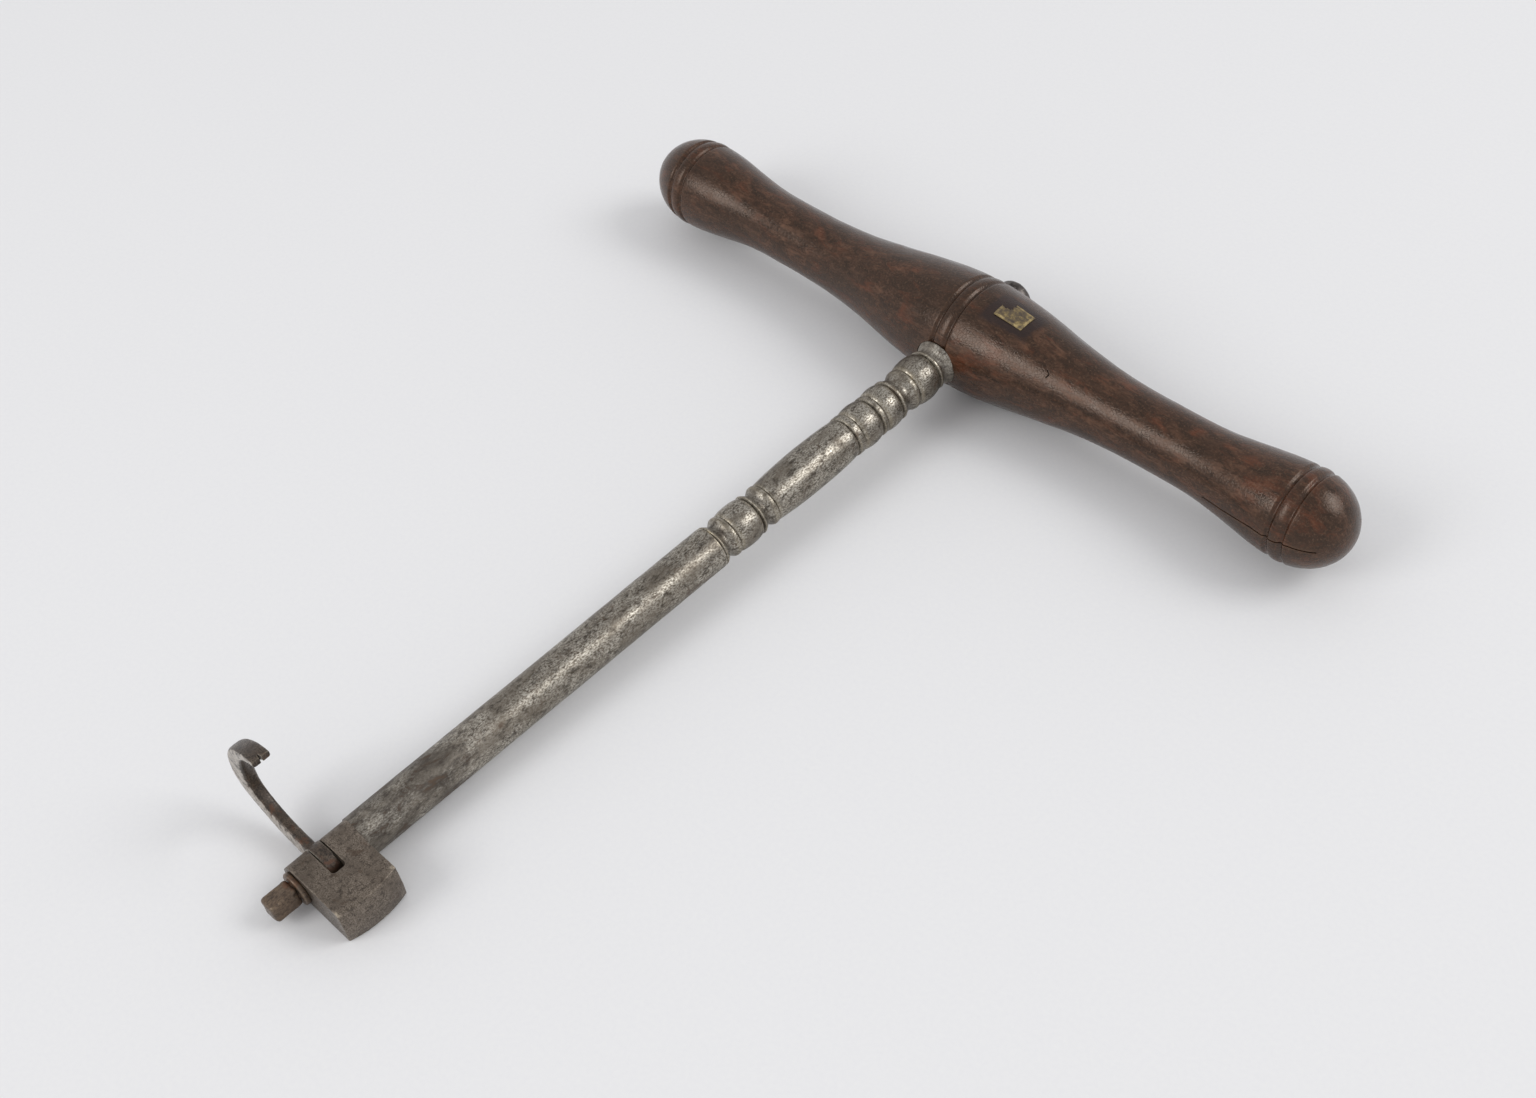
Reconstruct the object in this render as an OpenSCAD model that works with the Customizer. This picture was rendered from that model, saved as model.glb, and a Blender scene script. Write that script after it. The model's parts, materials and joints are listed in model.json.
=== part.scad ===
// Dental key: a turned hardwood handle across a forged steel stem, with a side bolster at the tip and a
// swinging claw on a square-headed screw. The handle's axis is X, the stem points along -Y, +Z is up,
// and the two axes cross at the origin. Millimetres.

/* [Handle] */
// Length of the handle from end to end
handle_len = 123; // [110:1:140]
// Diameter of the belly at the middle of the handle
belly_d = 16.1; // [15:0.1:20]
// Diameter of the two waists
waist_d = 9.6; // [8:0.1:12]
// Largest diameter of the end knobs
knob_d = 13.1; // [11:0.1:15]
// Distance from the middle of the handle to a waist
waist_at = 34.5; // [28:0.5:40]
// Length of a knob's rounded cap, from its widest section to the end
knob_cap = 7.5; // [6:0.1:12]
// Diameter of the round tool that cut the grooves
groove_w = 0.8; // [0.4:0.1:1.2]
// Distance between the two grooves of a pair
groove_gap = 2.1; // [1.4:0.1:3]
// Depth of the flat seats cut for the flange and the nut
seat_depth = 0.7; // [0.4:0.1:1]

/* [Tang] */
// Width of the square tang inside the handle
tang_w = 3.6; // [3:0.1:4.2]
// Clearance all round the tang in its hole
tang_clear = 0.1; // [0.05:0.01:0.2]
// Diameter of the tang's round end inside the nut
rivet_d = 2.8; // [2:0.1:3]
// Height of the peened end above the nut
rivet_h = 0.3; // [0.1:0.05:0.6]
// Diameter of the tang nut
nut_d = 5.6; // [4.4:0.1:6.2]
// Height of the tang nut's straight side
nut_side = 1.4; // [1:0.1:2.5]
// Height of the tang nut's rounded top
nut_dome = 1.3; // [0.8:0.1:2.5]
// Diameter of the flat left on the tang nut's top
nut_flat_d = 3.2; // [3.1:0.1:4]
// Clearance of the tang's round end in the nut
nut_clear = 0.03; // [0.01:0.01:0.06]

/* [Stem] */
// Distance from the handle's axis to the front of the bolster
stem_reach = 118; // [110:0.5:130]
// Diameter of the plain shaft where it meets the bolster
shaft_d = 5.7; // [5.4:0.1:6]
// Diameter of the plain shaft where it leaves the turnings
shaft_top_d = 6; // [5.7:0.1:6.3]
// Diameter of the flange that bears on the handle
flange_d = 6.7; // [6.2:0.1:7.4]
// Length of the flange
flange_len = 2.1; // [1.2:0.1:2.6]
// Hollow turned into the flange's sloping side
flange_hollow = 0.12; // [0.05:0.01:0.2]
// Diameter of the narrow neck on each side of the lower bead
neck_d = 4.8; // [4.6:0.1:5.2]
// Length of a narrow neck
neck_len = 1.3; // [1:0.1:1.8]
// Diameter of the rings above the barrel
ring_d = 6.1; // [5.8:0.1:6.2]
// Diameter of the rings below the barrel
lower_ring_d = 5.9; // [5.7:0.1:6.1]
// Length of a thin ring
ring_len = 0.6; // [0.4:0.1:0.9]
// Length of a wide ring, which ends in a hollow or a neck
wide_ring_len = 0.9; // [0.6:0.1:1.2]
// Length of the girdle after each upper bead
girdle_len = 1.5; // [1:0.1:2]
// Height of the small steps cut beside the rings
ring_step = 0.1; // [0.05:0.01:0.15]
// Diameter of the large ball
ball_d = 6.7; // [6.4:0.1:7.2]
// Length of the large ball
ball_len = 4.1; // [3.5:0.1:5]
// Diameter of the hollow between the ball and the beads
cove_d = 5.2; // [4.9:0.1:5.5]
// Length of that hollow
cove_len = 1.9; // [1.4:0.1:2.4]
// Diameter of the beads
bead_d = 6.3; // [6.1:0.1:6.6]
// Length of the short bead
short_bead_len = 2.8; // [2.2:0.1:3.6]
// Length of the long bead
long_bead_len = 3; // [2.4:0.1:3.8]
// Diameter of the barrel
barrel_d = 6.4; // [6.2:0.1:6.8]
// Length of the barrel
barrel_len = 15.3; // [13:0.1:18]
// Diameter of the lower bead
lower_bead_d = 6.1; // [5.9:0.1:6.4]
// Length of the lower bead
lower_bead_len = 4.2; // [3.4:0.1:5]
// Diameter of the tenon that carries the bolster
tenon_d = 4.4; // [4:0.1:4.8]
// Clearance round the tenon, filled with braze
tenon_clear = 0.03; // [0.01:0.01:0.06]

/* [Bolster] */
// Length of the bolster along the stem
bolster_len = 8.4; // [7.6:0.1:9.5]
// Distance from the stem's axis to the crown of the pad
pad_reach = 9.3; // [7.5:0.1:11]
// Radius of the domed pad
pad_radius = 14; // [11:0.5:20]
// Thickness of the wall in front of the claw
cheek_t = 3.15; // [2.6:0.05:3.6]
// Width of the claw's slot
slot_w = 1.7; // [1.5:0.1:1.9]
// Distance from the screw's axis to the closed end of the slot
slot_reach = 3.7; // [3.3:0.1:4.2]
// Depth of the flat filed along the upper back edge
back_flat = 0.15; // [0.05:0.05:0.7]

/* [Claw] */
// Clearance on each side of the claw in its slot
claw_clear = 0.05; // [0.03:0.01:0.1]
// Outside diameter of the claw's eye
eye_d = 5.6; // [4.6:0.1:5.7]
// Half the hook's width, measured on its centre line
hook_half_w = 9.2; // [8:0.1:10.5]
// Height of the hook's lower half, measured on its centre line
hook_low_h = 6; // [5.4:0.1:7]
// Height of the hook's upper half, measured on its centre line
hook_top_h = 11.4; // [9:0.1:12.5]
// Depth of the hook's bar where it leaves the eye
bar_root = 3; // [2.4:0.1:3.2]
// Depth of the hook's bar at its back
bar_back = 3.4; // [2.8:0.1:4]
// Depth of the hook's bar at the points
bar_tip = 1; // [0.6:0.1:1.4]
// Width across the two points
head_w = 2.4; // [2:0.1:2.8]
// Width of the notch between the two points
notch_w = 0.6; // [0.4:0.1:1]
// Depth of the notch between the two points
notch_depth = 0.9; // [0.6:0.1:2]

/* [Claw screw] */
// Diameter of the screw
screw_d = 2.4; // [2:0.1:2.6]
// Clearance between the screw and each hole it turns in
screw_clear = 0.06; // [0.03:0.01:0.1]
// Length of the screw under its collar
screw_len = 11; // [10:0.1:12.5]
// Depth of the tapped hole past the end of the screw
tap_spare = 1; // [0.5:0.1:2]
// Pitch of the thread
thread_pitch = 0.8; // [0.5:0.05:1]
// Depth of the thread
thread_depth = 0.25; // [0.1:0.05:0.35]
// Diameter of the collar
collar_d = 4.5; // [3.8:0.1:5.4]
// Thickness of the collar
collar_t = 0.7; // [0.5:0.1:1.2]
// Width of the square head
drive_w = 2.7; // [2.6:0.1:3.2]
// Length of the square head
drive_len = 3.7; // [2.5:0.1:5]
// Turn of the square head about the screw, from the pad's side upwards
drive_turn = 9; // [0:1:45]

/* [Label] */
// Length of the label along the handle
label_len = 4.6; // [3:0.1:7]
// Width of the label round the handle
label_w = 3.4; // [2:0.1:4]
// Distance from the middle of the handle to the label's near edge
label_at = 5.3; // [3:0.1:9]
// Turn of the label round the handle, towards the stem
label_turn = 0; // [0:1:30]
// Thickness of the label
label_t = 0.12; // [0.08:0.01:0.25]
// Thickness of the glue under the label
label_glue = 0.03; // [0.01:0.01:0.05]

/* [Hidden] */
$fn = 64;
// Points along a long curve and along a short one
long_steps = 48;
short_steps = 10;
// Overlap of joined shapes, and the distance that a cut runs past a face
lap = 0.02;
past = 1;

// Handle: the powers set how full its two swellings are
end_x = handle_len / 2;
knob_x = end_x - knob_cap;
belly_power = 1.55;
knob_power = 1.5;
front_seat = belly_d / 2 - seat_depth;
nut_h = nut_side + nut_dome;

// Stem, measured along it from the handle's axis
shaft_end = stem_reach - bolster_len;
slot_front = stem_reach - cheek_t;
slot_back = slot_front - slot_w;
back_flat_turn = 144;
tap_depth = stem_reach - screw_len - tap_spare;
screw_hole_d = screw_d + 2 * screw_clear;

// Each turned length of the stem: its length, its radius at both ends and its swelling. The power makes
// the swellings full, with steep ends
turned_power = 0.6;
step_r = ring_d / 2 - ring_step;
lower_step_r = lower_ring_d / 2 - ring_step;
turnings = [
    [flange_len, flange_d / 2, cove_d / 2, -flange_hollow],
    [ring_len, ring_d / 2, ring_d / 2, 0],
    [ball_len, step_r, step_r, ball_d / 2 - step_r],
    [wide_ring_len, ring_d / 2, ring_d / 2, 0],
    [cove_len, step_r, step_r, cove_d / 2 - step_r],
    [ring_len, ring_d / 2, ring_d / 2, 0],
    [short_bead_len, step_r, step_r, bead_d / 2 - step_r],
    [girdle_len, ring_d / 2, ring_d / 2, 0],
    [long_bead_len, step_r, step_r, bead_d / 2 - step_r],
    [girdle_len, ring_d / 2, ring_d / 2, 0],
    [barrel_len, step_r, lower_step_r, (barrel_d - step_r - lower_step_r) / 2],
    [wide_ring_len, lower_ring_d / 2, lower_ring_d / 2, 0],
    [neck_len, lower_step_r, lower_step_r, neck_d / 2 - lower_step_r],
    [ring_len, lower_ring_d / 2, lower_ring_d / 2, 0],
    [lower_bead_len, lower_step_r, lower_step_r, lower_bead_d / 2 - lower_step_r],
    [wide_ring_len, lower_ring_d / 2, lower_ring_d / 2, 0],
    [neck_len, lower_step_r, lower_step_r, neck_d / 2 - lower_step_r],
    [ring_len, lower_ring_d / 2, lower_ring_d / 2, 0]
];

// Claw: its bar follows two half ellipses, the lower of which passes through the screw's axis; the power
// makes the upper one a little straighter
claw_t = slot_w - 2 * claw_clear;
claw_mid = (slot_front + slot_back) / 2;
eye_angle = -62;
tip_angle = -267;
tip_power = 1.3;
hook_power = 1.15;
hook_x = -hook_half_w * cos(eye_angle);
hook_y = -hook_low_h * sin(eye_angle);

function blend(a, b, q) = a + (b - a) * q;
function swell(q, power) = pow((1 - cos(180 * q)) / 2, power);
function straighter(share, power) = sign(share) * pow(abs(share), power);
function total(list, n) = n <= 0 ? 0 : list[n - 1][0] + total(list, n - 1);

// Radius of the handle at a distance x from its middle
function handle_r(x) =
    let (a = abs(x))
    a <= waist_at ? blend(waist_d, belly_d, swell(1 - a / waist_at, belly_power)) / 2
    : a <= knob_x ? blend(waist_d, knob_d, swell((a - waist_at) / (knob_x - waist_at), knob_power)) / 2
    : knob_d / 2 * sqrt(max(0, 1 - pow((a - knob_x) / knob_cap, 2)));

// Points of one turned length as [radius, place along the stem]
function turned(t, start) =
    let (n = t[3] == 0 ? 1 : short_steps, power = t[3] > 0 ? turned_power : 1)
    [for (i = [0 : n])
        [blend(t[1], t[2], i / n) + t[3] * pow(sin(180 * i / n), power), start + t[0] * i / n]];

// Half the depth of the claw's bar at a share q of its length
function bar_half(q) =
    q < 0.5 ? blend(bar_root, bar_back, swell(2 * q, 1)) / 2
    : blend(bar_back, bar_tip, pow(2 * q - 1, tip_power)) / 2;

// A point of the claw's outline: side is 1 outside, -1 inside and 0 on the centre line
function bar_point(q, side) =
    let (a = blend(eye_angle, tip_angle, q), h = side * bar_half(q), upper = sin(a) > 0)
    let (height = upper ? hook_top_h : hook_low_h, power = upper ? hook_power : 1)
    [hook_x + (hook_half_w + h) * straighter(cos(a), power),
     hook_y + (height + h) * straighter(sin(a), power)];

// Lays +Z of its children along the stem, towards the tip, with +Y up
module along_stem() rotate([90, 0, 0]) children();

// Lays +Z of its children along the handle
module along_handle() rotate([0, 90, 0]) children();

module groove(x) {
    rotate_extrude()
        translate([handle_r(x), x])
            circle(d = groove_w);
}

module handle() {
    places = [for (i = [-long_steps : long_steps]) end_x * sin(90 * i / long_steps)];
    outline = [for (x = places) [handle_r(x), x]];
    color("saddlebrown") difference() {
        along_handle() difference() {
            rotate_extrude() polygon(outline);
            for (middle = [-knob_x, 0, knob_x], side = [-1, 1])
                groove(middle + side * groove_gap / 2);
        }
        along_stem() {
            cube([tang_w + 2 * tang_clear, tang_w + 2 * tang_clear, belly_d + 2 * past], center = true);
            translate([0, 0, front_seat]) cylinder(d = flange_d + 2 * tang_clear, h = belly_d);
            translate([0, 0, -front_seat - belly_d]) cylinder(d = nut_d + 2 * tang_clear, h = belly_d);
        }
    }
}

module stem() {
    n = len(turnings);
    shaft_start = front_seat + total(turnings, n);
    outline = concat(
        [[0, front_seat]],
        [for (i = [0 : n - 1]) each turned(turnings[i], front_seat + total(turnings, i))],
        [[shaft_top_d / 2, shaft_start], [shaft_d / 2, shaft_end], [0, shaft_end]]);
    color("slategray") along_stem() difference() {
        union() {
            rotate_extrude() polygon(outline);
            translate([0, 0, shaft_end - lap]) cylinder(d = tenon_d, h = slot_back - shaft_end + lap);
            translate([-tang_w / 2, -tang_w / 2, -front_seat]) cube([tang_w, tang_w, 2 * front_seat + lap]);
            translate([0, 0, -front_seat - nut_h - rivet_h])
                cylinder(d = rivet_d, h = nut_h + rivet_h + lap);
        }
        translate([0, 0, tap_depth]) cylinder(d = screw_hole_d, h = slot_back - tap_depth + past);
    }
}

module bolster() {
    pad_mid = (shaft_end + stem_reach) / 2;
    color("dimgray") along_stem() difference() {
        union() {
            translate([0, 0, shaft_end]) cylinder(d = shaft_d, h = bolster_len);
            intersection() {
                translate([0, -shaft_d / 2, shaft_end]) cube([pad_reach, shaft_d, bolster_len]);
                translate([pad_reach - pad_radius, 0, pad_mid]) sphere(r = pad_radius);
            }
        }
        rotate([0, 0, back_flat_turn])
            translate([shaft_d / 2 - back_flat, -shaft_d, shaft_end - past])
                cube([shaft_d, 2 * shaft_d, bolster_len + 2 * past]);
        translate([-shaft_d, -shaft_d, slot_back])
            cube([shaft_d + slot_reach - slot_w / 2, 2 * shaft_d, slot_w]);
        translate([slot_reach - slot_w / 2, shaft_d, slot_back + slot_w / 2])
            rotate([90, 0, 0]) cylinder(d = slot_w, h = 2 * shaft_d);
        translate([0, 0, slot_front - lap]) cylinder(d = screw_hole_d, h = cheek_t + past);
        translate([0, 0, shaft_end - past])
            cylinder(d = tenon_d + 2 * tenon_clear, h = slot_back - shaft_end + past + lap);
    }
}

module tang_nut() {
    angles = [for (i = [0 : short_steps]) 90 * i / short_steps];
    shoulder = (nut_d - nut_flat_d) / 2;
    outline = concat(
        [[0, 0], [nut_d / 2, 0]],
        [for (a = angles) [nut_flat_d / 2 + shoulder * cos(a), nut_side + nut_dome * sin(a)]],
        [[0, nut_h]]);
    color([0.16, 0.15, 0.15]) rotate([-90, 0, 0]) translate([0, 0, front_seat]) difference() {
        rotate_extrude() polygon(outline);
        translate([0, 0, -past]) cylinder(d = rivet_d + 2 * nut_clear, h = nut_h + 2 * past);
    }
}

module label() {
    half_turn = label_w / belly_d * 180 / PI;
    xs = [for (i = [0 : short_steps]) label_at + label_len * i / short_steps];
    outline = concat(
        [for (x = xs) [handle_r(x) + label_glue, x]],
        [for (i = [short_steps : -1 : 0]) [handle_r(xs[i]) + label_glue + label_t, xs[i]]]);
    color("darkgoldenrod") along_handle()
        rotate([0, 0, 180 + label_turn - half_turn])
            rotate_extrude(angle = 2 * half_turn) polygon(outline);
}

// Side view of the claw's thickness: it widens steadily from the screw's axis up to the points
module claw_spread() {
    low = -hook_low_h - bar_back;
    high = hook_y + hook_top_h + bar_back;
    high_w = blend(claw_t, head_w, high / bar_point(1, 0)[1]);
    side = [[low, claw_t / 2], [0, claw_t / 2], [high, high_w / 2]];
    translate([hook_x - 2 * hook_half_w, 0, 0])
        rotate([90, 0, 90])
            linear_extrude(4 * hook_half_w)
                polygon(concat(side, [for (i = [2 : -1 : 0]) [side[i][0], -side[i][1]]]));
}

module claw() {
    bar = concat(
        [for (i = [0 : long_steps]) bar_point(i / long_steps, 1)],
        [for (i = [long_steps : -1 : 0]) bar_point(i / long_steps, -1)]);
    tip = bar_point(1, 0);
    color("darkslategray") along_stem() translate([0, 0, claw_mid]) difference() {
        union() {
            cylinder(d = eye_d, h = claw_t, center = true);
            intersection() {
                linear_extrude(2 * head_w, center = true) polygon(bar);
                claw_spread();
            }
        }
        cylinder(d = screw_hole_d, h = 2 * claw_t, center = true);
        translate([tip[0], tip[1], 0])
            rotate([90, 0, 0])
                linear_extrude(4 * bar_tip, center = true)
                    polygon([[-notch_depth, 0], [lap, -notch_w / 2], [lap, notch_w / 2]]);
    }
}

module claw_screw() {
    threads = floor((screw_len - cheek_t - slot_w) / thread_pitch) - 1;
    color("sienna") along_stem() difference() {
        union() {
            translate([0, 0, stem_reach - screw_len]) cylinder(d = screw_d, h = screw_len + collar_t + lap);
            rotate([0, 0, drive_turn])
                translate([-drive_w / 2, -drive_w / 2, stem_reach + collar_t])
                    cube([drive_w, drive_w, drive_len]);
        }
        for (i = [1 : threads])
            translate([0, 0, stem_reach - screw_len + i * thread_pitch])
                rotate_extrude()
                    translate([screw_d / 2, 0])
                        polygon([[-thread_depth, 0], [lap, -thread_depth], [lap, thread_depth]]);
    }
}

module screw_collar() {
    color("peru") along_stem() translate([0, 0, stem_reach]) difference() {
        cylinder(d = collar_d, h = collar_t);
        translate([0, 0, -past]) cylinder(d = screw_hole_d, h = collar_t + 2 * past);
    }
}

handle();
stem();
bolster();
tang_nut();
label();
claw();
claw_screw();
screw_collar();
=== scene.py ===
# Dental key: a turned hardwood handle across a turned steel stem, with a domed bolster and a swinging claw.
# The handle's axis is X, the stem points along -Y and +Z is up.
# Sizes are in metres, and most are written in millimetres.
import json
import math

import bpy
from mathutils import Matrix, Vector


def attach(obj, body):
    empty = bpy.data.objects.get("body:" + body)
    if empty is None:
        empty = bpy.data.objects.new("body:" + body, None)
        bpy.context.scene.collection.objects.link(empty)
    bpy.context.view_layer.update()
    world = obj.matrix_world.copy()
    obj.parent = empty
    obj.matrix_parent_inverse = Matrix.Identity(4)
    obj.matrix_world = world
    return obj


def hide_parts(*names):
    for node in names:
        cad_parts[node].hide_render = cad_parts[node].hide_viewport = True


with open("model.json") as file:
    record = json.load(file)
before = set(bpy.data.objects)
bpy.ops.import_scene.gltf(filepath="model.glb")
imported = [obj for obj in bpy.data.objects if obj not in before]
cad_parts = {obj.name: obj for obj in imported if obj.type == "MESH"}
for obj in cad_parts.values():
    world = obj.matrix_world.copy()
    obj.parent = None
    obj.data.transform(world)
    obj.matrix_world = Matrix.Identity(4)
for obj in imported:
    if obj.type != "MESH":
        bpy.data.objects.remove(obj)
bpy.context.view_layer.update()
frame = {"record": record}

MM = 0.001
UP = Vector((0, 0, 1))
HANDLE_AXIS = Vector((1, 0, 0))
STEM_AXIS = Vector((0, -1, 0))

# Handle
HANDLE_LEN = 123 * MM
BELLY_D = 16.1 * MM
WAIST_D = 9.6 * MM
KNOB_D = 13.1 * MM
WAIST_AT = 34.5 * MM
KNOB_CAP = 7.5 * MM
BELLY_POWER = 1.55
KNOB_POWER = 1.5
END_X = HANDLE_LEN / 2
KNOB_X = END_X - KNOB_CAP
GROOVE_PAIRS = (-KNOB_X, 0, KNOB_X)
GROOVE_GAP = 2.1 * MM
GROOVE_HALF = 0.55 * MM
GROOVE_DEPTH = 0.32 * MM
GROOVE_BEAD = 0.05 * MM
GROOVE_REACH = 2 * MM
SEAT = 7.35 * MM
SEAT_CLEAR = 0.02 * MM
CRACK_W = 0.2 * MM
CRACK_DEPTH = 0.5 * MM
NICK_DEPTH = 0.18 * MM

# Tang and nut
TANG_W = 3.6 * MM
RIVET_D = 2.8 * MM
RIVET_H = 0.3 * MM
NUT_D = 5.6 * MM
NUT_SIDE = 1.4 * MM
NUT_DOME = 1.3 * MM
NUT_FLAT_D = 3.2 * MM
NUT_CLEAR = 0.03 * MM
NUT_EDGE = 0.12 * MM

# Stem, measured along it from the handle's axis
STEM_REACH = 118 * MM
SHAFT_D = 5.7 * MM
SHAFT_TOP_D = 6 * MM
FLANGE_D = 6.7 * MM
FLANGE_LEN = 2.1 * MM
FLANGE_RIM = 0.6 * MM
FLANGE_HOLLOW = 0.3 * MM
NECK_D = 4.8 * MM
RING_D = 6.1 * MM
LOWER_RING_D = 5.9 * MM
RING_STEP = 0.1 * MM
RING_SWELL = 0.03 * MM
BALL_D = 6.7 * MM
COVE_D = 5.2 * MM
BEAD_D = 6.4 * MM
BARREL_D = 6.4 * MM
LOWER_BEAD_D = 6.2 * MM
TURNED_POWER = 0.55
TENON_D = 4.4 * MM
NOTCH_HALF = 0.13 * MM
NOTCH_DEPTH = 0.22 * MM
TURNED_EDGE = 0.03 * MM
# The stem's browning: where it begins towards the bolster and over what length; and the share of painted
# shade darkening the flange's hollow
BROWNED_FROM = 84 * MM
BROWNED_OVER = 12 * MM
FLANGE_SHADE = 0.7

# Bolster
BOLSTER_LEN = 8.4 * MM
PAD_REACH = 9.3 * MM
PAD_RADIUS = 14 * MM
CHEEK_T = 3.15 * MM
SLOT_W = 1.7 * MM
SLOT_EASE = 0.1 * MM
SLOT_REACH = 3.7 * MM
BACK_FLAT = 0.15 * MM
BACK_FLAT_TURN = math.radians(144)
BOLSTER_RUBS = 9
# The painted highlights at the ends of the pad's ridge: their radius, and their share
RIDGE_GLINT = 0.8 * MM
RIDGE_BRIGHT = 0.85
SHAFT_END = STEM_REACH - BOLSTER_LEN
SHOULDER = 0.15 * MM
SEAM = SHAFT_END - SHOULDER
SLOT_FRONT = STEM_REACH - CHEEK_T
SLOT_BACK = SLOT_FRONT - SLOT_W
PAD_MID = (SHAFT_END + STEM_REACH) / 2

# Claw
CLAW_T = 1.6 * MM
CLAW_MID = (SLOT_FRONT + SLOT_BACK) / 2
EYE_D = 5.6 * MM
HOOK_HALF_W = 9.2 * MM
HOOK_LOW_H = 6 * MM
HOOK_TOP_H = 11.4 * MM
BAR_ROOT = 3 * MM
BAR_BACK = 3.4 * MM
BAR_TIP = 1 * MM
HEAD_W = 2.4 * MM
NOTCH_W = 0.6 * MM
NOTCH_LEN = 0.9 * MM
EYE_ANGLE = -62
TIP_ANGLE = -267
TIP_POWER = 1.3
HOOK_POWER = 1.15
BAR_ROUND = 0.48
CLAW_RUBS = 4
# The claw's side with a painted reflection: how far a face turns towards the collar before it is painted
# bright, and over what more
SIDE_FROM = 0.44
SIDE_OVER = 0.4

# Claw screw and its collar
SCREW_D = 2.4 * MM
SCREW_HOLE_D = 2.52 * MM
SCREW_LEN = 11 * MM
THREAD_PITCH = 0.8 * MM
THREAD_DEPTH = 0.25 * MM
COLLAR_D = 4.5 * MM
COLLAR_T = 0.7 * MM
COLLAR_EDGE = 0.25 * MM
DRIVE_W = 2.7 * MM
DRIVE_LEN = 3.7 * MM
DRIVE_TURN = math.radians(9)
DRIVE_EDGE = 0.45 * MM
DRIVE_RUBS = 14

# Label
LABEL_LEN = 4.6 * MM
LABEL_W = 3.4 * MM
LABEL_AT = 5.3 * MM
LABEL_T = 0.12 * MM
LABEL_GLUE = 0.03 * MM
LABEL_BORDER = 0.3 * MM
LABEL_CELLS = (46, 34)
# The label's lost corner, as shares of its length and width from its middle, and its ragged edge's waves
LOST_X = -0.18
LOST_Y = 0.04
RAGGED = 0.03
RAGGED_X = 23
RAGGED_Y = 31
STAIN_MARGIN = 2.2 * MM

# Mesh fineness
ROUND_STEPS = 128
SMALL_STEPS = 64
LONG_STEPS = 76
GROOVE_STEP = 0.08 * MM
TURNED_STEP = 0.25 * MM
DOME_STEPS = 14
FINE_GRAIN = 0.08 * MM
TOUCH = 0.001 * MM
PAST = 1 * MM

# The unevenness of hand work on each piece: the size of its bumps and their height, in millimetres
UNEVEN = {
    "wooden_handle": [(9, 0.16), (2, 0.04)],
    "turned_stem": [(4, 0.05), (0.8, 0.015)],
    "bolster_block": [(2.5, 0.05), (0.5, 0.02)],
    "domed_nut": [(0.8, 0.05)],
    "forged_claw": [(2, 0.06), (0.5, 0.025)],
    "square_head_screw": [(1.2, 0.12), (0.4, 0.03)],
    "round_collar": [(1.1, 0.1)],
}

# Shading: the angle of a sharp edge, and the hollow and edge angles between which the mask for painted
# shade in hollows and lighter edges is read
SHARP = math.radians(38)
HOLLOW_ANGLE = math.radians(72)
EDGE_ANGLE = math.radians(108)


def blend(a, b, share):
    return a + (b - a) * share


def swell(share, power):
    return ((1 - math.cos(math.pi * share)) / 2) ** power


def handle_radius(x):
    a = abs(x)
    if a <= WAIST_AT:
        return blend(WAIST_D, BELLY_D, swell(1 - a / WAIST_AT, BELLY_POWER)) / 2
    if a <= KNOB_X:
        return blend(WAIST_D, KNOB_D, swell((a - WAIST_AT) / (KNOB_X - WAIST_AT), KNOB_POWER)) / 2
    return KNOB_D / 2 * math.sqrt(max(0, 1 - ((a - KNOB_X) / KNOB_CAP) ** 2))


def on_handle(x, turn, proud=0):
    """A point on the handle, turned in degrees from the top towards the stem."""
    radius = handle_radius(x) + proud
    angle = math.radians(turn)
    return Vector((x, -radius * math.sin(angle), radius * math.cos(angle)))


def grooved(x):
    """How far the turner's grooves sink the handle, or raise the bead between two of them."""
    from_pair = min(abs(x - middle) for middle in GROOVE_PAIRS)
    from_groove = abs(from_pair - GROOVE_GAP / 2)
    if from_groove < GROOVE_HALF:
        return -GROOVE_DEPTH * math.cos(math.pi / 2 * from_groove / GROOVE_HALF) ** 2
    bead_half = GROOVE_GAP / 2 - GROOVE_HALF
    if from_pair < bead_half:
        return GROOVE_BEAD * (1 - (from_pair / bead_half) ** 2)
    return 0


# Modelling by hand: each helper starts from nothing selected, and leaves its piece active

def begin(name):
    """Names the primitive just added and opens it for editing with everything selected."""
    piece = bpy.context.object
    piece.name = name
    piece.data.name = name
    bpy.ops.object.transform_apply(location=True, rotation=True, scale=True)
    bpy.ops.object.mode_set(mode="EDIT")
    bpy.ops.mesh.select_mode(type="VERT")
    bpy.ops.mesh.select_all(action="SELECT")
    return piece


def pick(piece, kind, chosen):
    """Opens a piece with only those edges or faces selected whose corners a test chooses."""
    bpy.ops.object.mode_set(mode="EDIT")
    bpy.ops.mesh.select_mode(type=kind)
    bpy.ops.mesh.select_all(action="DESELECT")
    bpy.ops.object.mode_set(mode="OBJECT")
    for part in piece.data.edges if kind == "EDGE" else piece.data.polygons:
        part.select = chosen([piece.data.vertices[v].co for v in part.vertices])
    bpy.ops.object.mode_set(mode="EDIT")


def close(piece):
    """Merges the seam of an edited mesh and turns its faces outwards."""
    bpy.ops.mesh.select_all(action="SELECT")
    bpy.ops.mesh.remove_doubles(threshold=TOUCH)
    bpy.ops.mesh.normals_make_consistent(inside=False)
    bpy.ops.object.mode_set(mode="OBJECT")
    return piece


def trace(name, points):
    """Draws a line from corner to corner, starting from a single vertex, and stays in edit mode."""
    bpy.ops.object.select_all(action="DESELECT")
    bpy.ops.mesh.primitive_circle_add(vertices=3, radius=MM)
    piece = begin(name)
    bpy.ops.mesh.merge(type="CENTER")
    bpy.ops.transform.translate(value=points[0])
    for here, there in zip(points, points[1:]):
        bpy.ops.mesh.extrude_vertices_move(TRANSFORM_OT_translate={"value": there - here})
    bpy.ops.mesh.select_all(action="SELECT")
    return piece


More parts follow.
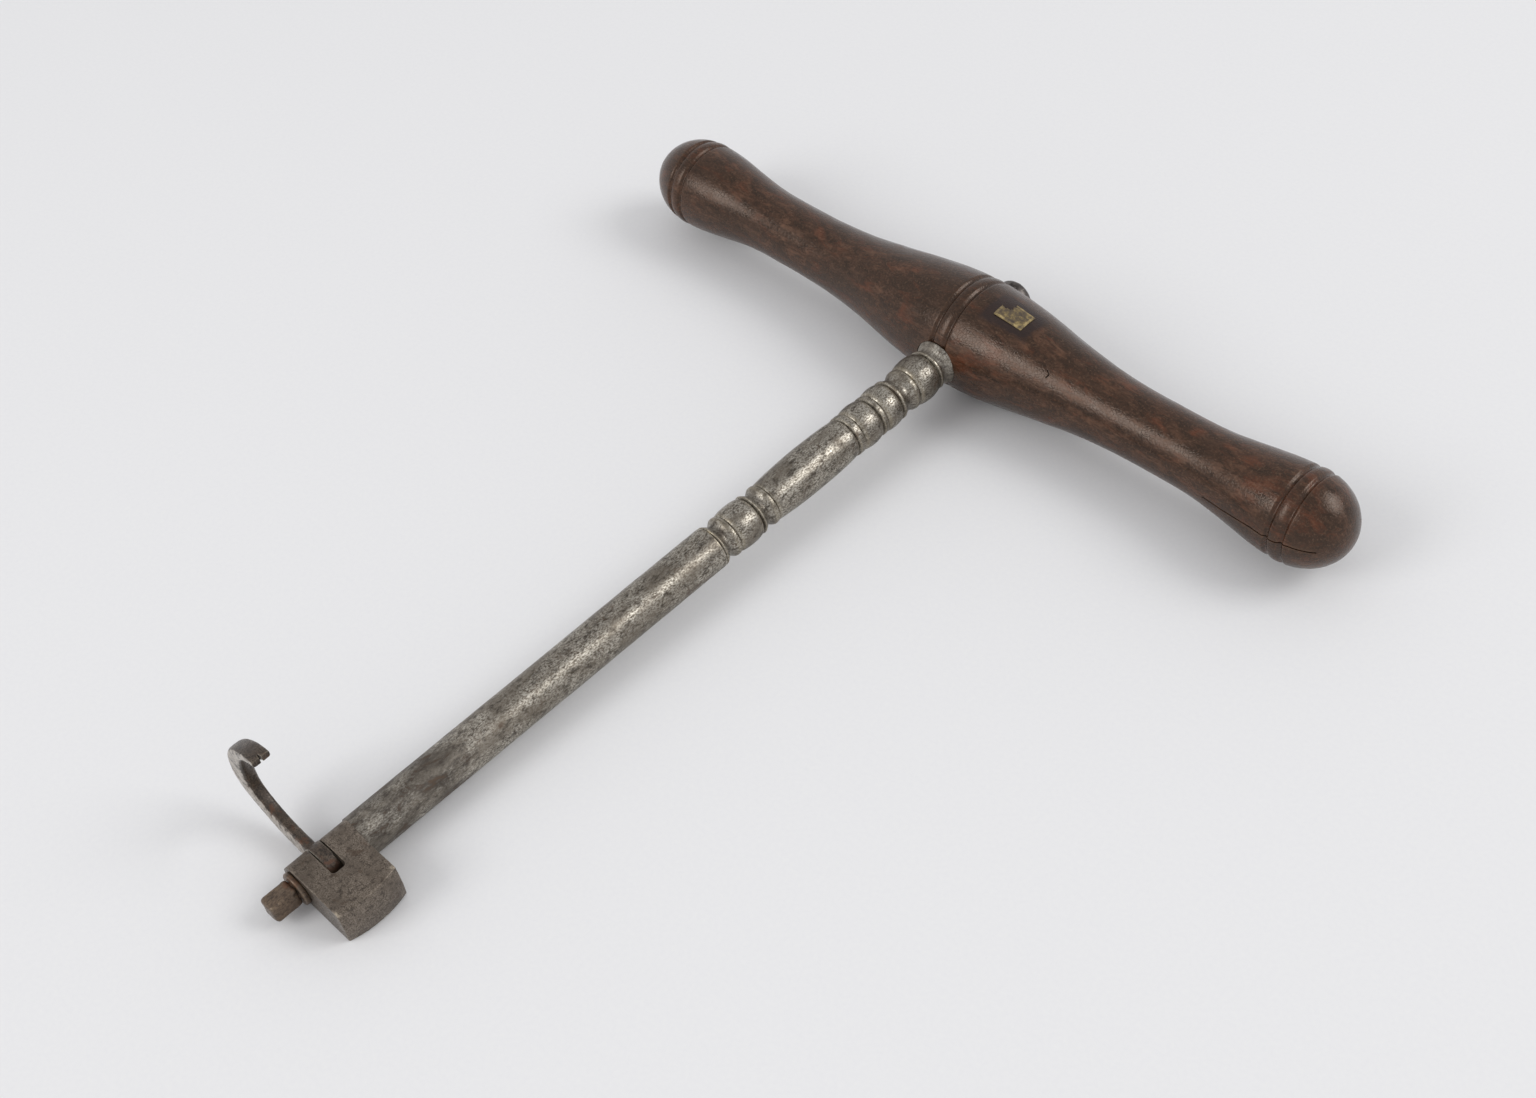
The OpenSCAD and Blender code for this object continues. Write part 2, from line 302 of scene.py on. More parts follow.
def lathe(name, profile, axis, steps):
    """Spins a profile of (place along the axis, radius) into a turned piece."""
    piece = trace(name, [axis * along + UP * radius for along, radius in profile])
    bpy.ops.mesh.spin(steps=steps, angle=math.tau, center=(0, 0, 0), axis=axis)
    return close(piece)


def block(name, middle, size, turn=0):
    """A box of a given size, turned about the stem from the pad's side upwards."""
    bpy.ops.object.select_all(action="DESELECT")
    bpy.ops.mesh.primitive_cube_add(size=1, location=middle, rotation=(0, -turn, 0), scale=size)
    return close(begin(name))


def ball(name, middle, radius, steps):
    """A round tool for domes."""
    bpy.ops.object.select_all(action="DESELECT")
    bpy.ops.mesh.primitive_uv_sphere_add(
        segments=steps, ring_count=steps // 2, radius=radius, location=middle)
    return close(begin(name))


def rod(name, start, end, diameter, steps=SMALL_STEPS):
    """A round bar along the stem, from one distance to another."""
    return lathe(name, [(start, 0), (start, diameter / 2), (end, diameter / 2), (end, 0)], STEM_AXIS, steps)


def apply(piece, kind, **settings):
    """Adds a modifier with its settings and applies it."""
    bpy.ops.object.select_all(action="DESELECT")
    bpy.context.view_layer.objects.active = piece
    piece.select_set(True)
    change = piece.modifiers.new(kind.lower(), kind)
    for name, value in settings.items():
        setattr(change, name, value)
    bpy.ops.object.modifier_apply(modifier=change.name)
    return piece


def carve(piece, tool, operation="DIFFERENCE"):
    """Cuts a tool out of a piece, joins it on, or keeps what they share, and removes the tool."""
    apply(piece, "BOOLEAN", object=tool, operation=operation, solver="EXACT")
    bpy.data.objects.remove(tool)
    return piece


def roughen(piece):
    """Gives a piece the slight unevenness of hand work."""
    for size, height in UNEVEN[piece.name]:
        bumps = bpy.data.textures.new(piece.name + "_unevenness", "CLOUDS")
        bumps.noise_scale = size * MM
        bumps.noise_depth = 1
        apply(piece, "DISPLACE", texture=bumps, strength=height * MM, mid_level=0.5, texture_coords="LOCAL")
        bpy.data.textures.remove(bumps)
    return piece


def soften(piece, rubs):
    """Remeshes a forged or filed piece evenly and rubs its edges round."""
    apply(piece, "REMESH", mode="VOXEL", voxel_size=FINE_GRAIN)
    apply(piece, "SMOOTH", factor=0.5, iterations=rubs)
    return piece


def split(piece, path, depth):
    """Opens a narrow crack in the handle along points in millimetres along it and degrees round it."""
    blade = trace("crack", [on_handle(x * MM, turn, depth) for x, turn in path])
    bpy.ops.mesh.extrude_edges_move()
    shrink = 1 - 2 * depth / handle_radius(path[0][0] * MM)
    bpy.ops.transform.resize(value=(1, shrink, shrink), center_override=(0, 0, 0))
    bpy.ops.object.mode_set(mode="OBJECT")
    apply(blade, "SOLIDIFY", thickness=CRACK_W, offset=0)
    return carve(piece, blade)


def paint(piece, name, share):
    """Keeps a share from 0 to 1 on every vertex, worked out from its place and its normal."""
    layer = piece.data.attributes.new(name, "FLOAT", "POINT")
    for vertex, mark in zip(piece.data.vertices, layer.data):
        mark.value = share(vertex.co, vertex.normal)


BODIES = frame["record"]["behaviour"]["bodies"]
BODY_OF = {node: body for body, nodes in BODIES.items() for node in nodes}


def settle(piece, node, finish):
    """Gives a finished piece its mask of hollows and edges for painted shade and lighter edges, its shading
    and finish, and its place in the assembly.
    """
    bpy.ops.object.select_all(action="DESELECT")
    bpy.context.view_layer.objects.active = piece
    piece.select_set(True)
    # A mask for painted shade in the hollows and lighter edges
    bpy.ops.geometry.color_attribute_add(
        name="hollows_and_edges", domain="CORNER", data_type="FLOAT_COLOR", color=(1, 1, 1, 1))
    bpy.ops.paint.vertex_color_dirt(
        blur_strength=0.6, blur_iterations=2, dirt_angle=HOLLOW_ANGLE, clean_angle=EDGE_ANGLE, normalize=False)
    bpy.ops.object.shade_smooth_by_angle(angle=SHARP)
    piece.data.materials.clear()
    piece.data.materials.append(finish)
    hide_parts(node)
    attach(piece, BODY_OF[node])


# Pieces

# Where the polish is rubbed to a warmer red: millimetres along the handle, degrees from its top towards the
# stem, and the size of the patch in millimetres
RUBBED_PATCHES = [
    (4.4, 69, 2.0), (19.5, 39, 1.0), (57.6, 34, 1.4), (42.7, 6, 1.3), (46.4, 9, 1.4), (54.4, -2, 1.5),
    (50.6, 26, 1.2), (37.9, 2, 1.1), (32.7, 18, 1.3), (-53.3, 7, 1.2), (-44.0, 5, 1.0), (-15.3, 50, 1.6),
    (-27.8, 15, 1.1), (-6.5, 64, 3), (8, 57, 2.4), (54.5, 52, 2.6), (48.5, 44, 2)]
# The crack and the nick in the wood, from point to point in the same two measures
CRACK = [(42.6, 92), (45.6, 89.5), (48, 86), (50.7, 83.5), (53.2, 84.5), (56, 81.5), (59.2, 82.5)]
NICK = [(16.1, 35), (16.6, 39), (16.4, 45)]


def rubbed(place, normal):
    """How far the nearest rubbed patches reach a point of the handle."""
    total = 0
    for x, turn, size in RUBBED_PATCHES:
        total += math.exp(-((place - on_handle(x * MM, turn)).length / (size * MM)) ** 2)
    return min(1, total)


def stained(place, normal):
    """Whether a point of the handle lies in the dark rectangle of old glue round the label."""
    turn = math.atan2(-place.y, place.z)
    out_x = abs(place.x - LABEL_AT - LABEL_LEN / 2) - LABEL_LEN / 2
    out_y = abs(turn) * BELLY_D / 2 - LABEL_W / 2
    return 1 - min(1, max(0, max(out_x, out_y) / STAIN_MARGIN))


def wooden_handle():
    """Turned in one piece with three pairs of grooves, drilled and seated across its middle."""
    places = [END_X * math.sin(math.pi / 2 * i / LONG_STEPS) for i in range(-LONG_STEPS, LONG_STEPS + 1)]
    places = [x for x in places if min(abs(x - middle) for middle in GROOVE_PAIRS) > GROOVE_REACH]
    fine = round(GROOVE_REACH / GROOVE_STEP)
    places += [middle + i * GROOVE_STEP for middle in GROOVE_PAIRS for i in range(-fine, fine + 1)]
    profile = [(x, handle_radius(x) + grooved(x)) for x in sorted(places)]
    piece = lathe("wooden_handle", profile, HANDLE_AXIS, ROUND_STEPS)
    roughen(piece)
    hole_w = TANG_W + 2 * SEAT_CLEAR
    carve(piece, block("tang_hole", (0, 0, 0), (hole_w, BELLY_D + PAST, hole_w)))
    carve(piece, rod("flange_seat", SEAT, BELLY_D, FLANGE_D + 2 * SEAT_CLEAR))
    carve(piece, rod("nut_seat", -BELLY_D, -SEAT, NUT_D + 2 * SEAT_CLEAR))
    split(piece, CRACK, CRACK_DEPTH)
    split(piece, NICK, NICK_DEPTH)
    paint(piece, "rubbed", rubbed)
    paint(piece, "stained", stained)
    return piece


# Where a bead or a hollow meets its rings
STEP_R = RING_D / 2 - 2 * RING_STEP
LOWER_STEP_R = LOWER_RING_D / 2 - 2 * RING_STEP


def ring(length, diameter):
    """A ring of a length in millimetres, with a slightly rounded face."""
    edge = diameter / 2 - RING_SWELL
    return length * MM, edge, edge, RING_SWELL


def swelling(length, first, last, diameter):
    """A bead or a hollow of a length in millimetres, with its own diameter between its ends."""
    return length * MM, first, last, (diameter - first - last) / 2


# The stem's turnings from the handle on: the length, the radius at both ends and the rise between them
TURNINGS = [
    (FLANGE_RIM, FLANGE_D / 2 - RING_STEP, FLANGE_D / 2 - RING_STEP, RING_STEP),
    (FLANGE_LEN - FLANGE_RIM, FLANGE_D / 2 - 2 * RING_STEP, COVE_D / 2, -FLANGE_HOLLOW),
    ring(0.6, RING_D),
    swelling(4.1, STEP_R, STEP_R, BALL_D),
    ring(0.9, RING_D),
    swelling(1.9, STEP_R, STEP_R, COVE_D),
    ring(0.6, RING_D),
    swelling(3.1, STEP_R, STEP_R, BEAD_D),
    ring(0.9, RING_D),
    swelling(3.6, STEP_R, STEP_R, BEAD_D),
    ring(1.2, RING_D),
    swelling(15.3, STEP_R, LOWER_STEP_R, BARREL_D),
    ring(0.75, LOWER_RING_D),
    swelling(1.6, LOWER_STEP_R, LOWER_STEP_R, NECK_D),
    ring(0.45, LOWER_RING_D),
    swelling(4.2, LOWER_STEP_R, LOWER_STEP_R, LOWER_BEAD_D),
    ring(0.75, LOWER_RING_D),
    swelling(1.6, LOWER_STEP_R, LOWER_STEP_R, NECK_D),
    ring(0.45, LOWER_RING_D),
]
SHAFT_START = SEAT + sum(turning[0] for turning in TURNINGS)
SHAFT = (SEAM - SHAFT_START, SHAFT_TOP_D / 2, SHAFT_D / 2, 0)


def browned_and_shaded(place, normal):
    """How brown the stem has gone, more and more towards the bolster; at the flange, a share of painted
    shade for its dark hollow.
    """
    along = -place.y
    if along < SEAT + FLANGE_LEN:
        # Painted shade: the flange's hollow is darkened
        return FLANGE_SHADE
    return min(1, max(0, (along - BROWNED_FROM) / BROWNED_OVER))


def turned_stem():
    """Rings, beads and barrel above a plain shaft, parted by fine notches, with a tang and a tenon."""
    profile = [(SEAT, 0)]
    start = SEAT
    for turning, following in zip(TURNINGS + [SHAFT], TURNINGS[1:] + [SHAFT, SHAFT]):
        length, first, last, rise = turning
        steps = max(4, round(length / TURNED_STEP))
        for i in range(steps + 1):
            share = i / steps
            along = blend(start + NOTCH_HALF, start + length - NOTCH_HALF, share)
            bulge = math.sin(math.pi * share) ** (TURNED_POWER if rise > 0 else 1)
            profile.append((along, blend(first, last, share) + rise * bulge))
        start += length
        if min(rise, following[3]) >= 0:
            profile.append((start, min(last, following[1]) - NOTCH_DEPTH))
    profile[-1] = (SEAM, SHAFT_D / 2)
    profile += [(SEAM, TENON_D / 2), (SLOT_BACK, TENON_D / 2), (SLOT_BACK, 0)]
    piece = lathe("turned_stem", profile, STEM_AXIS, ROUND_STEPS)
    apply(piece, "BEVEL", width=TURNED_EDGE, segments=2, limit_method="ANGLE", angle_limit=SHARP)
    roughen(piece)
    carve(piece, block("tang", (0, 0, 0), (TANG_W, 2 * SEAT + TOUCH, TANG_W)), "UNION")
    nut_h = NUT_SIDE + NUT_DOME
    carve(piece, rod("rivet", -SEAT - nut_h - RIVET_H, -SEAT + PAST, RIVET_D), "UNION")
    carve(piece, rod("tapped_hole", STEM_REACH - SCREW_LEN - PAST, STEM_REACH, SCREW_HOLE_D))
    paint(piece, "browned_and_shaded", browned_and_shaded)
    return piece


def bolster_block():
    """A filed block with a domed pad on one side and an open slot for the claw on the other."""
    pad = block("bolster_block", (PAD_REACH / 2, -PAD_MID, 0), (PAD_REACH, BOLSTER_LEN, SHAFT_D))
    dome_x = PAD_REACH - PAD_RADIUS
    carve(pad, ball("dome", (dome_x, -PAD_MID, 0), PAD_RADIUS, ROUND_STEPS), "INTERSECT")
    carve(pad, rod("round_side", SHAFT_END - PAST, STEM_REACH, SHAFT_D, ROUND_STEPS), "UNION")
    flat_out = SHAFT_D - BACK_FLAT
    flat_at = (flat_out * math.cos(BACK_FLAT_TURN), -PAD_MID, flat_out * math.sin(BACK_FLAT_TURN))
    carve(pad, block("back_flat", flat_at, (SHAFT_D, 2 * BOLSTER_LEN, 2 * SHAFT_D), BACK_FLAT_TURN))
    slot_w = SLOT_W + 2 * SLOT_EASE
    slot = block("slot", (SLOT_REACH - SHAFT_D, -CLAW_MID, 0), (2 * SHAFT_D, slot_w, 2 * SHAFT_D))
    pick(slot, "EDGE", lambda ends: min(e.x for e in ends) > 0 and ends[0].z * ends[1].z < 0)
    bpy.ops.mesh.bevel(offset=slot_w / 4, segments=6, affect="EDGES")
    bpy.ops.object.mode_set(mode="OBJECT")
    carve(pad, slot)
    carve(pad, rod("screw_hole", SLOT_FRONT - PAST, STEM_REACH + PAST, SCREW_HOLE_D))
    carve(pad, rod("tenon_hole", SHAFT_END - 2 * PAST, SLOT_BACK + PAST, TENON_D + 2 * NUT_CLEAR))
    soften(pad, BOLSTER_RUBS)
    roughen(pad)
    carve(pad, block("stem_end", (0, PAST - SEAM, 0), (2 * SHAFT_D, 2 * PAST, 2 * SHAFT_D)))
    ridge_x = dome_x + math.sqrt(PAD_RADIUS ** 2 - (BOLSTER_LEN / 2) ** 2 - (SHAFT_D / 2) ** 2)
    corners = [Vector((ridge_x, -end, SHAFT_D / 2)) for end in (SHAFT_END, STEM_REACH)]
    # Painted highlights at both ends of the pad's ridge
    paint(pad, "painted_sheen", lambda place, normal: RIDGE_BRIGHT * max(
        math.exp(-((place - corner).length / RIDGE_GLINT) ** 2) for corner in corners))
    return pad


def domed_nut():
    """A small blackened nut with a rounded top, bored for the tang's round end."""
    shoulder = (NUT_D - NUT_FLAT_D) / 2
    bore = RIVET_D / 2 + NUT_CLEAR
    nut_h = NUT_SIDE + NUT_DOME
    profile = [(SEAT, bore), (SEAT, NUT_D / 2)]
    for i in range(DOME_STEPS + 1):
        turn = math.pi / 2 * i / DOME_STEPS
        along = SEAT + NUT_SIDE + NUT_DOME * math.sin(turn)
        profile.append((along, NUT_FLAT_D / 2 + shoulder * math.cos(turn)))
    profile += [(SEAT + nut_h, bore), (SEAT, bore)]
    piece = lathe("domed_nut", profile, -STEM_AXIS, SMALL_STEPS)
    apply(piece, "BEVEL", width=NUT_EDGE, segments=2, limit_method="ANGLE", angle_limit=SHARP)
    apply(piece, "SUBSURF", levels=1, render_levels=1, subdivision_type="SIMPLE")
    return roughen(piece)


def raised(share, power):
    """A cosine or sine raised to a power: over 1 straightens a circle, under 1 squares it up."""
    return math.copysign(abs(share) ** power, share)


def bar_half(share):
    """Half the depth of the claw's bar at a share of its length."""
    if share < 0.5:
        return blend(BAR_ROOT, BAR_BACK, swell(2 * share, 1)) / 2
    return blend(BAR_BACK, BAR_TIP, (2 * share - 1) ** TIP_POWER) / 2


def bar_point(share, outwards):
    """A point of the claw across its bar: outwards is 1 on its back and -1 on its inside."""
    angle = math.radians(blend(EYE_ANGLE, TIP_ANGLE, share))
    depth = outwards * bar_half(share)
    upper = math.sin(angle) > 0
    height = HOOK_TOP_H if upper else HOOK_LOW_H
    power = HOOK_POWER if upper else 1
    hook_x = -HOOK_HALF_W * math.cos(math.radians(EYE_ANGLE))
    hook_z = -HOOK_LOW_H * math.sin(math.radians(EYE_ANGLE))
    across = (HOOK_HALF_W + depth) * raised(math.cos(angle), power)
    return hook_x + across, hook_z + (height + depth) * raised(math.sin(angle), power)


def reflecting_side(place, normal):
    """How much painted reflection lightens the claw: fully on its side towards the collar, and not on its
    other sides.
    """
    return min(1, max(0, (-normal.y - SIDE_FROM) / SIDE_OVER))


def forged_claw():
    """A straight bar drawn out, bent into a hook and spread at its head, with an eye and two points."""
    sections = LONG_STEPS
    bpy.ops.object.select_all(action="DESELECT")
    bpy.ops.mesh.primitive_circle_add(vertices=SMALL_STEPS // 2, radius=1, fill_type="NGON")
    bar = begin("forged_claw")
    for _ in range(sections):
        bpy.ops.mesh.extrude_region_move(TRANSFORM_OT_translate={"value": UP / sections})
    close(bar)
    tip_x, tip_z = bar_point(1, 0)
    for vertex in bar.data.vertices:
        x, z = bar_point(vertex.co.z, raised(vertex.co.x, BAR_ROUND))
        half_t = blend(CLAW_T, HEAD_W, max(0, z / tip_z)) / 2
        vertex.co = Vector((x, -CLAW_MID + half_t * raised(vertex.co.y, BAR_ROUND), z))
    bpy.ops.object.mode_set(mode="EDIT")
    close(bar)
    eye = [CLAW_MID - CLAW_T / 2, CLAW_MID + CLAW_T / 2]
    carve(bar, rod("eye", *eye, EYE_D), "UNION")
    carve(bar, rod("eye_hole", eye[0] - PAST, eye[1] + PAST, SCREW_HOLE_D))
    notch = block("notch", (tip_x, -CLAW_MID, tip_z), (2 * NOTCH_LEN, NOTCH_W, 4 * BAR_TIP))
    for vertex in notch.data.vertices:
        if vertex.co.x < tip_x:
            vertex.co.y = -CLAW_MID
    bpy.ops.object.mode_set(mode="EDIT")
    close(notch)
    carve(bar, notch)
    soften(bar, CLAW_RUBS)
    roughen(bar)
    # Painted reflection: the claw's side towards the collar is lightened
    paint(bar, "painted_sheen", reflecting_side)
    return bar


def square_head_screw():
    """A filed square head on a threaded shank with a plain end."""
    head_start = STEM_REACH + COLLAR_T
    head_at = (0, -head_start - DRIVE_LEN / 2, 0)
    head = block("square_head_screw", head_at, (DRIVE_W, DRIVE_LEN, DRIVE_W), DRIVE_TURN)
    apply(head, "BEVEL", width=DRIVE_EDGE, segments=4)
    soften(head, DRIVE_RUBS)
    roughen(head)
    turns = int((SLOT_BACK - (STEM_REACH - SCREW_LEN)) / THREAD_PITCH)
    first = SLOT_BACK - turns * THREAD_PITCH
    thread = trace("thread", [
        STEM_AXIS * (first - THREAD_PITCH) + UP * SCREW_D / 2,
        STEM_AXIS * (first - THREAD_PITCH / 2) + UP * (SCREW_D / 2 - THREAD_DEPTH),
        STEM_AXIS * first + UP * SCREW_D / 2])
    bpy.ops.object.mode_set(mode="OBJECT")
    apply(thread, "SCREW", axis="Y", screw_offset=-THREAD_PITCH, iterations=turns, steps=SMALL_STEPS // 2,
          render_steps=SMALL_STEPS // 2, use_merge_vertices=True)
    bpy.ops.object.mode_set(mode="EDIT")
    bpy.ops.mesh.select_all(action="SELECT")
    bpy.ops.mesh.remove_doubles(threshold=TOUCH)
    bpy.ops.mesh.select_all(action="DESELECT")
    bpy.ops.mesh.select_mode(type="EDGE")
    bpy.ops.mesh.select_non_manifold()
    bpy.ops.mesh.edge_face_add()
    close(thread)
    carve(head, rod("plain_end", SLOT_BACK - 2 * THREAD_PITCH, head_start + PAST, SCREW_D), "UNION")
    return carve(head, thread, "UNION")


def round_collar():
    """A thin hand-filed ring with rounded edges under the screw's head."""
    bore = SCREW_HOLE_D / 2
    end = STEM_REACH + COLLAR_T
    outline = [(STEM_REACH, bore), (STEM_REACH, COLLAR_D / 2), (end, COLLAR_D / 2), (end, bore)]
    piece = lathe("round_collar", outline + outline[:1], STEM_AXIS, SMALL_STEPS)
    apply(piece, "BEVEL", width=COLLAR_EDGE, segments=4, limit_method="ANGLE", angle_limit=SHARP)
    apply(piece, "SUBSURF", levels=1, render_levels=1, subdivision_type="SIMPLE")
    return roughen(piece)


def lost_corner(corners):
    """Whether a face of the flat label lies in its worn-away corner, which has a ragged edge."""
    x, y, _ = sum(corners, Vector()) / len(corners)
    ragged = RAGGED * math.sin(RAGGED_X * x + RAGGED_Y * y)
    return x < LOST_X + ragged and y > LOST_Y + ragged


def bordered(place, normal):
    """Whether a point of the flat label lies in its border."""
    past_x = abs(place.x) * LABEL_LEN - LABEL_LEN / 2
    past_y = abs(place.y) * LABEL_W - LABEL_W / 2
    return float(max(past_x, past_y) > -LABEL_BORDER)


def gilt_label():
    """A thin patch laid on the handle, with one corner lost."""
    bpy.ops.object.select_all(action="DESELECT")
    across, down = LABEL_CELLS
    bpy.ops.mesh.primitive_grid_add(x_subdivisions=across, y_subdivisions=down, size=1)
    piece = begin("gilt_label")
    pick(piece, "FACE", lost_corner)
    bpy.ops.mesh.delete(type="FACE")
    bpy.ops.object.mode_set(mode="OBJECT")
    paint(piece, "border", bordered)
    for vertex in piece.data.vertices:
        x = LABEL_AT + LABEL_LEN * (vertex.co.x + 0.5)
        turn = -math.degrees(LABEL_W / (BELLY_D / 2)) * vertex.co.y
        vertex.co = on_handle(x, turn, LABEL_GLUE)
    apply(piece, "SOLIDIFY", thickness=LABEL_T, offset=1)
    bpy.ops.object.mode_set(mode="EDIT")
    return close(piece)


# Finishes

def tone(code):
    """An sRGB hex colour as linear red, green, blue and alpha."""
    parts = [int(code[i:i + 2], 16) / 255 for i in (1, 3, 5)]
    return [c / 12.92 if c <= 0.04045 else ((c + 0.055) / 1.055) ** 2.4 for c in parts] + [1]


def node(tree, kind, inputs=None, stops=None, **settings):
    """Adds a shader node with settings by name, inputs as values or links, and a ramp's stops."""
    made = tree.nodes.new("ShaderNode" + kind)
    for name, value in settings.items():
        setattr(made, name, value)
    for name, value in (inputs or {}).items():
        if isinstance(value, bpy.types.NodeSocket):
            tree.links.new(value, made.inputs[name])
        else:
            made.inputs[name].default_value = value
    if stops:
        bar = made.color_ramp.elements
        while len(bar) < len(stops):
            bar.new(1)
        for mark, (place, colour) in zip(bar, stops):
            mark.position = place
            mark.color = tone(colour) if isinstance(colour, str) else (colour, colour, colour, 1)
    return made


# Sockets of a colour mix, which share their names with other kinds
MIX_SHARE, MIX_UNDER, MIX_OVER, MIXED = 0, 6, 7, 2


def over(tree, share, under, colour):
    """Lays a tone over a colour where a share says so."""
    return node(tree, "Mix", {
        MIX_SHARE: share, MIX_UNDER: under, MIX_OVER: tone(colour)}, data_type="RGBA").outputs[MIXED]


def stretched(tree, place, scale):
    """Coordinates that draw a pattern out along an axis with a scale under 1."""
    return node(tree, "Mapping", {"Vector": place, "Scale": scale}).outputs[0]


def noise(tree, place, size, detail, roughness=0.5, distortion=0):
    """A cloudy pattern with features of a real size in millimetres."""
    return node(tree, "TexNoise", {
        "Vector": place, "Scale": 1 / (size * MM), "Detail": detail, "Roughness": roughness,
        "Distortion": distortion}).outputs[0]


def ramp(tree, pattern, *stops):
    """Turns a pattern into tones or shares."""
    return node(tree, "ValToRGB", {"Fac": pattern}, stops).outputs[0]


def plus(tree, pattern, share, times=1):
    """A pattern with a share added, by so many times."""
    return node(tree, "Math", {0: share, 1: times, 2: pattern}, operation="MULTIPLY_ADD").outputs[0]


def combine(tree, operation, first, second):
    """Two patterns joined by an operation."""
    return node(tree, "Math", {0: first, 1: second}, operation=operation).outputs[0]


def painted(tree, name):
    """A share that paint() left on the piece, or 0 where there is none."""
    return node(tree, "Attribute", attribute_name=name).outputs["Fac"]


def worn(tree):
    """A mask of the piece's hollows and edges: under a half in its hollows, which get painted shade, and
    over a half on its edges, which are painted lighter.
    """
    return node(tree, "VertexColor", layer_name="hollows_and_edges").outputs["Color"]


def relief(tree, height, strength, depth):
    """A pattern as fine relief, of a real depth in millimetres."""
    return node(tree, "Bump", {"Height": height, "Strength": strength, "Distance": depth * MM}).outputs[0]


def new_finish(name):
    """An empty material with its shader and its object coordinates."""
    finish = bpy.data.materials.new(name)
    finish.use_nodes = True
    tree = finish.node_tree
    tree.nodes.clear()
    shader = node(tree, "BsdfPrincipled")
    node(tree, "OutputMaterial", {"Surface": shader.outputs[0]})
    return finish, tree, shader, node(tree, "TexCoord").outputs["Object"]


def link(tree, shader, **sockets):
    """Links patterns to the shader's sockets."""
    for name, socket in sockets.items():
        tree.links.new(socket, shader.inputs[name.replace("_", " ")])


def polished_rosewood():
    """Rosewood, french-polished: dark red brown, finely mottled, rubbed red in spots under a worn gloss."""
    finish, tree, shader, place = new_finish("polished_rosewood")
    hollows_and_edges = worn(tree)
    along = stretched(tree, place, (0.4, 1, 1))
    fibres = stretched(tree, place, (0.08, 1, 1))
    mottle = noise(tree, along, 1.1, 8, 0.74, 0.4)
    cloud = noise(tree, along, 6, 4)
    patch = noise(tree, along, 2.2, 7, 0.72, 0.8)
    pores = noise(tree, fibres, 0.25, 4)
    spot = noise(tree, place, 0.3, 5, 0.7)
    rubbing = plus(tree, patch, painted(tree, "rubbed"), 0.16)
    glue = plus(tree, patch, painted(tree, "stained"))
    colour = ramp(tree, mottle, (0.32, "#1a100b"), (0.44, "#2d1d14"), (0.56, "#432c1f"), (0.7, "#644634"))
    colour = over(tree, ramp(tree, cloud, (0.4, 0.7), (0.56, 0)), colour, "#281b13")
    colour = over(tree, ramp(tree, rubbing, (0.54, 0), (0.74, 0.6)), colour, "#643520")
    colour = over(tree, ramp(tree, pores, (0.34, 0.5), (0.46, 0)), colour, "#1c130d")
    colour = over(tree, ramp(tree, spot, (0.54, 0), (0.66, 0.48)), colour, "#6a5240")
    colour = over(tree, ramp(tree, glue, (0.75, 0), (1, 0.85)), colour, "#1e181b")
    # Painted shade: darker in the grooves and hollows
    colour = over(tree, ramp(tree, hollows_and_edges, (0.2, 0.85), (0.46, 0)), colour, "#150f0b")
    # Lighter on the edges: polish rubbed through, with a painted highlight where they catch the light
    colour = over(tree, ramp(tree, hollows_and_edges, (0.55, 0), (0.75, 0.3)), colour, "#6b5240")
    gloss = ramp(tree, mottle, (0.4, 0.15), (0.62, 0.36))
    cells = node(tree, "TexVoronoi", {
        "Vector": place, "Scale": 1 / (0.5 * MM)}, feature="DISTANCE_TO_EDGE").outputs["Distance"]
    crazed = ramp(tree, cells, (0, 0), (0.15, 1))
    shader.inputs["Specular Tint"].default_value = tone("#ffe7d7")
    link(tree, shader, Base_Color=colour, Roughness=gloss,
         Normal=relief(tree, combine(tree, "ADD", crazed, spot), 0.3, 0.03))
    return finish


